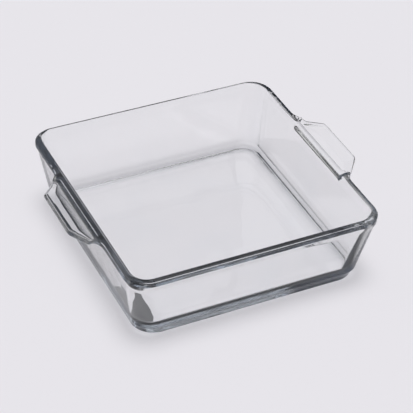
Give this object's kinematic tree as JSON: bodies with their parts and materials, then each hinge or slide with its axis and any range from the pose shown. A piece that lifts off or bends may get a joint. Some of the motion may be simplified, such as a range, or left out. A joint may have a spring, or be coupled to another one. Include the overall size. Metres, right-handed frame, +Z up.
{
  "type": "square baking dish",
  "caption": "Clear pressed-glass square baking dish with leaning walls, round corners, a beaded rim and tab handles on opposite sides.",
  "frame": {"origin": "middle of the face that the dish stands on", "axes": "+X towards the right handle, +Y towards the back, +Z up out of the dish"},
  "size_m": [0.2574, 0.22, 0.064],
  "materials": {
    "glass": "clear, fire polished"
  },
  "bodies": {
    "root": {"base": "glass", "side_wall": "glass", "rim": "glass", "left_handle": "glass", "right_handle": "glass"}
  },
  "joints": []
}
